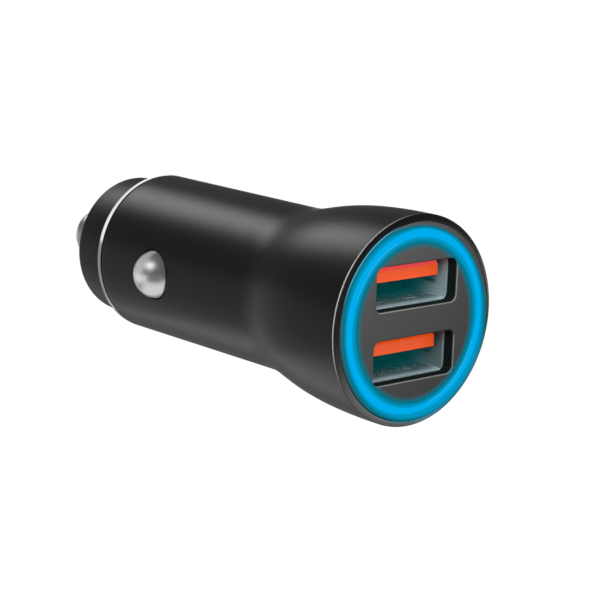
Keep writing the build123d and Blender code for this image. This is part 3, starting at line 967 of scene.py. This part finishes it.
class CHARGER_OT_nose(bpy.types.Operator):
    """Turn the bright ring, the nose cap and the centre tip"""

    bl_idname = "charger.nose"
    bl_label = "Nose and tip"

    def execute(self, context):
        sizes = context.scene.charger_contacts
        segments = context.scene.charger_housing.segments
        colours = context.scene.charger_colours
        bright = bright_plate(colours)
        low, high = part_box("nose_ring")
        spigot = high.x - context.scene.charger_housing.lip_wall - CAD_SLIP
        ring = turned(
            "bright_ring",
            rounded([
                (spigot + CAD_SLIP, low.y, 0),
                (high.x, low.y, sizes.ring_round),
                (high.x, high.y, sizes.ring_round),
                (spigot + CAD_SLIP, high.y, 0),
            ]),
            segments,
        )
        banded = bright_plate(colours, "bright band", 0.13, (low.y, high.y))
        stand_in(ring, "nose_ring", "body", banded)
        cap_low, cap_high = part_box("nose_cap")
        hole = sizes.tip_radius + CAD_RUNNING
        floor_y = cap_high.y - sizes.cap_wall
        cap = turned(
            "nose_end",
            rounded([
                (sizes.chamber_radius, cap_low.y, 0),
                (spigot, cap_low.y, 0),
                (spigot, high.y, 0),
                (cap_high.x, high.y, sizes.shoulder_round),
                (cap_high.x, cap_high.y, sizes.cap_round),
                (hole, cap_high.y, sizes.hole_round),
                (hole, floor_y, 0),
                (sizes.chamber_radius, floor_y, 0),
            ], CAP_STEPS),
            segments,
        )
        stand_in(cap, "nose_cap", "body", moulded_black(colours))
        tip_low, tip_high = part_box("tip_pin")
        flange_y = tip_low.y + sizes.stub_length
        tip = turned(
            "tip_contact",
            rounded([
                (0.0, tip_low.y, 0),
                (sizes.stub_radius, tip_low.y, sizes.stub_round),
                (sizes.stub_radius, flange_y, 0),
                (tip_high.x, flange_y, sizes.flange_round),
                (tip_high.x, flange_y + sizes.tip_flange, sizes.flange_round),
                (sizes.tip_radius, flange_y + sizes.tip_flange, 0),
                (sizes.tip_radius, tip_high.y, sizes.tip_round),
                (0.0, tip_high.y, 0),
            ], TIP_STEPS),
            CONTACT_SEGMENTS,
        )
        stand_in(tip, "tip_pin", "tip", bright)
        return {"FINISHED"}


class CHARGER_OT_springs(bpy.types.Operator):
    """Wind the tip spring and bend the side spring's two arms"""

    bl_idname = "charger.springs"
    bl_label = "Springs"

    def execute(self, context):
        sizes = context.scene.charger_contacts
        material = drawn_wire()
        low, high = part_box("tip_spring")
        half = sizes.wire / 2
        coil = self.coil(high.x - half, low.y + half, high.y - half, half, sizes.coil_turns)
        stand_in(coil, "tip_spring", "body", material)
        kept = 1 - self.travel("tip_press") / (high.y - low.y)
        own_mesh(coil)
        low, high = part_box("side_spring")
        for name, sign in (("left", -1), ("right", 1)):
            arm = self.arm(f"side_spring_{name}", sign, low, high, sizes.strip, sizes.strip_bend)
            stand_in(arm, "side_spring", "body", material)
            joint_name = f"{name}_contact_press"
            kept = 1 - self.travel(joint_name) / high.x
            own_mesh(arm)
        return {"FINISHED"}

    def travel(self, name):
        """How far a joint moves."""
        return next(joint["range_m"][1] for joint in frame["joints"] if joint["name"] == name)

    def coil(self, radius, start_y, end_y, half, turns):
        """A round wire wound evenly between two stations."""
        work = bmesh.new()
        count = int(COIL_SEGMENTS * turns)
        previous = None
        for step in range(count + 1):
            share = step / count
            angle = 2 * math.pi * turns * share
            out = Vector((math.cos(angle), 0, math.sin(angle)))
            centre = out * radius + Vector((0, start_y + (end_y - start_y) * share, 0))
            ring = []
            for corner in range(WIRE_SEGMENTS):
                around = 2 * math.pi * corner / WIRE_SEGMENTS
                side = out * math.cos(around) + Vector((0, math.sin(around), 0))
                ring.append(work.verts.new(centre + half * side))
            if previous:
                for corner in range(WIRE_SEGMENTS):
                    after = (corner + 1) % WIRE_SEGMENTS
                    work.faces.new((previous[corner], previous[after], ring[after], ring[corner]))
            else:
                work.faces.new(ring)
            previous = ring
        work.faces.new(list(reversed(previous)))
        bmesh.ops.recalc_face_normals(work, faces=work.faces)
        return finished("tip_coil", work)

    def arm(self, name, sign, low, high, thickness, bend):
        """Half of the U-shaped strip: from the middle of its base, round the bend and up to its end."""
        outer, inner = [(0.0, low.y)], [(0.0, low.y + thickness)]
        centre_x, centre_y = high.x - bend, low.y + bend
        for step in range(BEND_STEPS + 1):
            turn = math.pi / 2 * (step / BEND_STEPS - 1)
            for side, radius in ((outer, bend), (inner, bend - thickness)):
                side.append((centre_x + radius * math.cos(turn), centre_y + radius * math.sin(turn)))
        outer.append((high.x, high.y))
        inner.append((high.x - thickness, high.y))
        outline = outer + list(reversed(inner))
        work = bmesh.new()
        levels = [[work.verts.new((sign * x, y, z)) for x, y in outline] for z in (low.z, high.z)]
        count = len(outline)
        for index in range(count):
            after = (index + 1) % count
            work.faces.new((levels[0][index], levels[0][after], levels[1][after], levels[1][index]))
        for level in levels:
            for index in range(count // 2 - 1):
                across = count - 1 - index
                work.faces.new((level[index], level[index + 1], level[across - 1], level[across]))
        bmesh.ops.recalc_face_normals(work, faces=work.faces)
        return finished(name, work)


class CHARGER_OT_works(bpy.types.Operator):
    """Finish the boards and what stands on them"""

    bl_idname = "charger.works"
    bl_label = "Inner works"

    def execute(self, context):
        colours = context.scene.charger_colours
        dress_nodes(green_board(colours), "circuit_board", "led_board")
        dress_nodes(lamp_resin(), "leds")
        dress_nodes(drawn_can(), "output_capacitor", "input_capacitor")
        dress_nodes(pressed_powder(), "inductor")
        dress_nodes(moulded_black(colours), "contact_carrier", "controller_chip")
        return {"FINISHED"}


# Studio


ON, OFF = "INCLUDE", "EXCLUDE"  # a light is kept on some pieces alone, or off them
Light = namedtuple("Light", "place aim size radiance state pieces", defaults=(ON, ()))

# Points that the lights face, in millimetres
BARREL, FACE, DOME, RING = (0, 15, 0), (0, -22, 0), (-9.4, 15.6, 0), (0, 27, 0)
DOMES = ("side_dome_left", "side_dome_right")
FLOOR_REACH = 4.0
CARD_LEVEL = -73  # just above the floor

# Places and sizes in millimetres, the setting of the radiance, and the pieces that a light is kept on or off
SCRIMS = {
    "key_scrim": Light((0, 371, 335), BARREL, (360, 400), "key_light", OFF, (*DOMES, "bright_ring")),
    "side_scrim": Light((-380, -20, 370), BARREL, (620, 560), "side_light"),
}
SOFTBOXES = {
    "front_softbox": Light((-372, -312, 258), FACE, (350, 300), "front_light", OFF, (*DOMES, "face_plate")),
    "face_softbox": Light((-20, -53, 34), FACE, (30, 30), "face_light", OFF, (*DOMES, "housing_shell")),
    "bezel_softbox": Light((16, -69, -69), FACE, (66, 58), "bezel_light", ON, ("housing_shell",)),
    "dome_softbox": Light((-67.4, 175, 106), DOME, (400, 220), "dome_light", ON, DOMES),
    "fill_softbox": Light((-84, 78, -26), DOME, (140, 50), "dome_fill", ON, DOMES),
    "ring_softbox": Light((-15, 195, 110), RING, (420, 200), "ring_light", ON, ("bright_ring",)),
}


def level(*corners):
    """Corners of a card that lies just above the floor."""
    return [(x, y, CARD_LEVEL) for x, y in corners]


# Corners in millimetres, and the grey of the card
CARDS = {
    "grey_card": (((-5, 100, -71), (-180, 10, -71), (-320, 120, 30), (-100, 330, 30)), 0.05),
    "nose_card": (level((4, 20), (4, 500), (400, 500), (400, 20)), 0.03),
    "face_card": (
        level(
            (-1500, 0), (-139, 4), (-109, -68), (-43, -110),
            (-100, -200), (100, -200), (100, -1500), (-1500, -1500),
        ),
        0.03,
    ),
    "corner_card": (level((85, -90), (85, 20), (400, 20), (400, -90)), 0.03),
}


class CHARGER_OT_stage(bpy.types.Operator):
    """Set up the floor, the soft light and the camera"""

    bl_idname = "charger.stage"
    bl_label = "Studio"

    def execute(self, context):
        settings = context.scene.charger_stage
        floor = self.floor(settings)
        self.surround(context.scene, settings)
        self.aim_at(floor, OFF, ("face_plate",))
        for make, lights in ((self.scrim, SCRIMS), (self.softbox, SOFTBOXES)):
            for name, light in lights.items():
                place = Vector(light.place) * MM
                size = Vector(light.size) * MM
                lamp = make(name, place, Vector(light.aim) * MM, size, getattr(settings, light.radiance))
                if light.pieces:
                    self.aim_at(lamp, light.state, light.pieces)
        for name, (corners, shade) in CARDS.items():
            self.card(name, [Vector(corner) * MM for corner in corners], shade, getattr(settings, name))
        self.camera(context.scene, settings)
        context.scene.view_settings.view_transform = "Standard"
        context.scene.view_settings.look = "None"
        return {"FINISHED"}

    def floor(self, settings):
        """A pale back-lit floor."""
        work = bmesh.new()
        bmesh.ops.create_grid(work, x_segments=8, y_segments=8, size=FLOOR_REACH)
        bmesh.ops.translate(work, verts=work.verts, vec=(0, 0, -settings.floor_drop))
        plane = finished("studio_floor", work)
        finish = Finish("pale floor", base_color=(0.08, 0.08, 0.08), roughness=0.9, specular_ior_level=0.0)
        finish.set(emission_color=WHITE, emission_strength=settings.floor_glow)
        dress(plane, finish.material)
        return plane

    def card(self, name, corners, shade, glow):
        """A card on or above the floor that shapes the reflections, out of the camera's sight."""
        work = bmesh.new()
        work.faces.new([work.verts.new(corner) for corner in corners])
        card = finished(name, work)
        dull = (shade, shade, shade)
        finish = Finish(name.replace("_", " "), base_color=dull, roughness=1.0, specular_ior_level=0.0)
        finish.set(emission_color=WHITE, emission_strength=glow)
        dress(card, finish.material)
        card.visible_camera = False

    def scrim(self, name, place, aim, size, radiance):
        """A back-lit cloth that faces a point, bright in its middle and dark at its edges."""
        work = bmesh.new()
        bmesh.ops.create_grid(work, x_segments=1, y_segments=1, size=0.5)
        bmesh.ops.scale(work, verts=work.verts, vec=(*size, 1.0))
        cloth = finished(name, work)
        finish = Finish(name.replace("_", " "), base_color=BLACK, roughness=1.0, specular_ior_level=0.0)
        x, y, _ = finish.axes()
        share = abs(x).between(size[0] / 2 / MM, 0.0) * abs(y).between(size[1] / 2 / MM, 0.0)
        finish.set(emission_color=finish.blend(share, BLACK, WHITE), emission_strength=radiance)
        dress(cloth, finish.material)
        cloth.location = place
        cloth.rotation_mode = "QUATERNION"
        cloth.rotation_quaternion = (Vector(aim) - Vector(place)).to_track_quat("Z", "Y")
        cloth.visible_camera = False
        return cloth

    def aim_at(self, lamp, state, pieces):
        """Keeps a light off some pieces or on them alone, as flags on stands do."""
        chosen = bpy.data.collections.new(f"{lamp.name}_flags")
        for name in pieces:
            chosen.objects.link(bpy.data.objects[name])
        for entry in chosen.collection_objects:
            entry.light_linking.link_state = state
        lamp.light_linking.receiver_collection = chosen

    def surround(self, scene, settings):
        """An even room, white where the camera sees it past the floor."""
        world = bpy.data.worlds.new("studio room")
        scene.world = world
        world.use_nodes = True
        room = Nodes(world.node_tree)
        dim = room.node("ShaderNodeBackground", {}, {"Color": WHITE, "Strength": settings.surround})
        seen = room.node("ShaderNodeBackground", {}, {"Color": WHITE, "Strength": 1.0})
        path = room.node("ShaderNodeLightPath", {}, {})
        sockets = {0: path.outputs["Is Camera Ray"], 1: dim.outputs[0], 2: seen.outputs[0]}
        mix = room.node("ShaderNodeMixShader", {}, sockets)
        room.feed(world.node_tree.nodes["World Output"].inputs["Surface"], mix.outputs[0])

    def softbox(self, name, place, aim, size, radiance):
        """A rectangular soft light of a given radiance that faces a point."""
        light = bpy.data.lights.new(name, "AREA")
        light.shape = "RECTANGLE"
        light.size, light.size_y = size
        light.energy = radiance * math.pi * size[0] * size[1]
        lamp = bpy.data.objects.new(name, light)
        bpy.context.scene.collection.objects.link(lamp)
        lamp.location = place
        lamp.rotation_mode = "QUATERNION"
        lamp.rotation_quaternion = (Vector(aim) - Vector(place)).to_track_quat("-Z", "Y")
        lamp.visible_camera = False
        return lamp

    def camera(self, scene, settings):
        """A long lens at the picture's angle."""
        data = bpy.data.cameras.new("studio camera")
        data.lens = settings.lens
        data.sensor_width = 36.0
        data.clip_start = 0.01
        data.clip_end = 50.0
        view = bpy.data.objects.new("studio camera", data)
        scene.collection.objects.link(view)
        azimuth, elevation = settings.azimuth, settings.elevation
        back = Vector((
            math.sin(azimuth) * math.cos(elevation),
            -math.cos(azimuth) * math.cos(elevation),
            math.sin(elevation),
        ))
        view.location = settings.camera_place
        view.rotation_mode = "QUATERNION"
        view.rotation_quaternion = (-back).to_track_quat("-Z", "Y") @ Quaternion((0, 0, 1), settings.roll)
        scene.camera = view


class CHARGER_PT_pieces(bpy.types.Panel):
    """The charger's pieces"""

    bl_idname = "CHARGER_PT_pieces"
    bl_label = "Charger"
    bl_space_type = "VIEW_3D"
    bl_region_type = "UI"
    bl_category = "Charger"

    def draw(self, context):
        for operator in OPERATORS:
            self.layout.operator(operator.bl_idname)


GROUPS = {
    "charger_housing": HousingSizes,
    "charger_face": FaceSizes,
    "charger_contacts": ContactSizes,
    "charger_colours": FinishColours,
    "charger_stage": StageSettings,
}
OPERATORS = (
    CHARGER_OT_housing,
    CHARGER_OT_face,
    CHARGER_OT_ports,
    CHARGER_OT_side_contacts,
    CHARGER_OT_nose,
    CHARGER_OT_springs,
    CHARGER_OT_works,
    CHARGER_OT_stage,
)


def register():
    for group in GROUPS.values():
        bpy.utils.register_class(group)
    for name, group in GROUPS.items():
        setattr(bpy.types.Scene, name, PointerProperty(type=group))
    for operator in OPERATORS:
        bpy.utils.register_class(operator)
    bpy.utils.register_class(CHARGER_PT_pieces)


def unregister():
    bpy.utils.unregister_class(CHARGER_PT_pieces)
    for operator in reversed(OPERATORS):
        bpy.utils.unregister_class(operator)
    for name, group in reversed(GROUPS.items()):
        delattr(bpy.types.Scene, name)
        bpy.utils.unregister_class(group)


def main():
    """Builds every piece and the studio."""
    register()
    bpy.ops.charger.housing()
    bpy.ops.charger.face()
    bpy.ops.charger.ports()
    bpy.ops.charger.side_contacts()
    bpy.ops.charger.nose()
    bpy.ops.charger.springs()
    bpy.ops.charger.works()
    bpy.ops.charger.stage()


if __name__ == "__main__":
    main()
